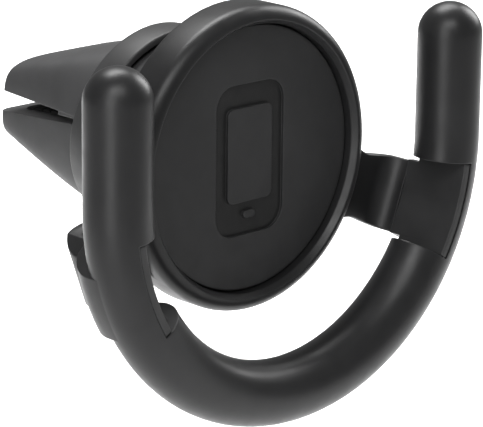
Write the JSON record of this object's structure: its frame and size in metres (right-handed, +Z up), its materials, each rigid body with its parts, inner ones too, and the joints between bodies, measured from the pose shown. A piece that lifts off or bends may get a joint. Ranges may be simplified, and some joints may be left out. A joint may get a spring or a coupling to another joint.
{
  "type": "car phone mount",
  "caption": "Vent-clip phone mount: sprung jaws, a ball joint and a round head whose U-shaped padded cradle holds a phone's expanding grip.",
  "frame": {"origin": "middle of the slot between the clip's jaws, where the vent louvre sits", "axes": "+Z up, -Y out of the head's face towards the phone, +X to the right seen from the front"},
  "size_m": [0.0482, 0.0347, 0.0386],
  "materials": {
    "soft_black": "satin soft-touch skin",
    "hard_black": "fine satin moulding",
    "pad_black": "matt, fine grain",
    "rubber": "matt ribbed",
    "nylon": "natural nylon",
    "steel": "turned, bright",
    "adhesive": "foam tape"
  },
  "bodies": {
    "clip": {"clip_base": "hard_black", "ball_stud": "steel", "stud_washer": "steel", "stud_nut": "steel", "upper_jaw_pin": "steel", "lower_jaw_pin": "steel", "upper_jaw_spring": "steel", "lower_jaw_spring": "steel"},
    "upper_jaw": {"upper_jaw": "soft_black", "upper_jaw_pad": "rubber"},
    "lower_jaw": {"lower_jaw": "soft_black", "lower_jaw_pad": "rubber"},
    "liner": {"ball_liner": "nylon"},
    "seat": {"ball_seat_ring": "nylon"},
    "head": {"ball_socket": "hard_black", "friction_shoe": "nylon", "wave_spring": "steel", "lock_ring": "steel", "socket_screw_1": "steel", "socket_screw_2": "steel", "socket_screw_3": "steel", "rear_cover": "hard_black", "cover_screw_1": "steel", "cover_screw_2": "steel", "cover_screw_3": "steel", "cover_screw_4": "steel", "head_frame": "hard_black", "adhesive_disc": "adhesive", "face_pad": "pad_black", "cradle_core": "hard_black", "cradle_sleeve": "soft_black", "grip_insert_left": "hard_black", "grip_insert_right": "hard_black", "ear_dowel_left": "steel", "ear_dowel_right": "steel"}
  },
  "joints": [
    {"name": "upper_jaw_open", "type": "hinge", "parent": "clip", "child": "upper_jaw", "pos_m": [0, -0.00561, 0.00298], "axis": [1, 0, 0], "range_deg": [0, 5], "stiffness_Nm_per_rad": 0.05, "springref_deg": -17.19},
    {"name": "lower_jaw_open", "type": "hinge", "parent": "clip", "child": "lower_jaw", "pos_m": [0, -0.00453, -0.00555], "axis": [1, 0, 0], "range_deg": [-5, 0], "stiffness_Nm_per_rad": 0.05, "springref_deg": 17.19},
    {"name": "head_pan", "type": "hinge", "parent": "clip", "child": "liner", "pos_m": [0, -0.0139, -0.0024], "axis": [0, 0, 1], "range_deg": [-8, 8]},
    {"name": "head_tilt", "type": "hinge", "parent": "liner", "child": "seat", "pos_m": [0, -0.0139, -0.0024], "axis": [1, 0, 0], "range_deg": [-0.8, 15.2]},
    {"name": "head_swivel", "type": "hinge", "parent": "seat", "child": "head", "pos_m": [0, -0.0139, -0.0024], "axis": [0, 1, 0], "continuous": true}
  ]
}
